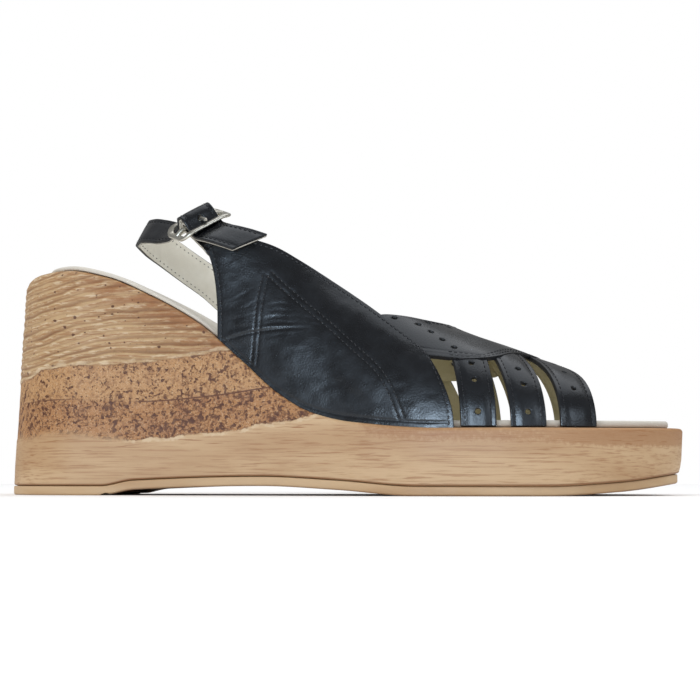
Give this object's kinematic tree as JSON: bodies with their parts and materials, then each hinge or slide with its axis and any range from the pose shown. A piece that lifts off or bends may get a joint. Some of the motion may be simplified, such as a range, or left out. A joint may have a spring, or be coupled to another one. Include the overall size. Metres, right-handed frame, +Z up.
{
  "type": "platform sandal",
  "caption": "Right-foot open-toe sandal with a wood-look wedge platform, black leather upper with side straps, and a slack buckled heel strap.",
  "frame": {"origin": "on the floor under the middle of the bounding box", "axes": "+X from heel to toe, +Y to the inner side of the foot, +Z up"},
  "size_m": [0.2358, 0.0824, 0.1016],
  "materials": {
    "wood_look_unit": "moulded and printed to look like wood and cork",
    "tread": "fine moulded tread",
    "insole_cover": "smooth pale lining leather",
    "upper_leather": "black, soft, satin",
    "strap_leather": "black outside, pale lining inside",
    "buckle_metal": "satin nickel",
    "prong_metal": "satin nickel"
  },
  "bodies": {
    "root": {"platform_wedge": "wood_look_unit", "outsole": "tread", "insole": "insole_cover", "upper": "upper_leather", "sling_strap": "strap_leather", "buckle_frame": "buckle_metal", "buckle_prong": "prong_metal"}
  },
  "joints": []
}
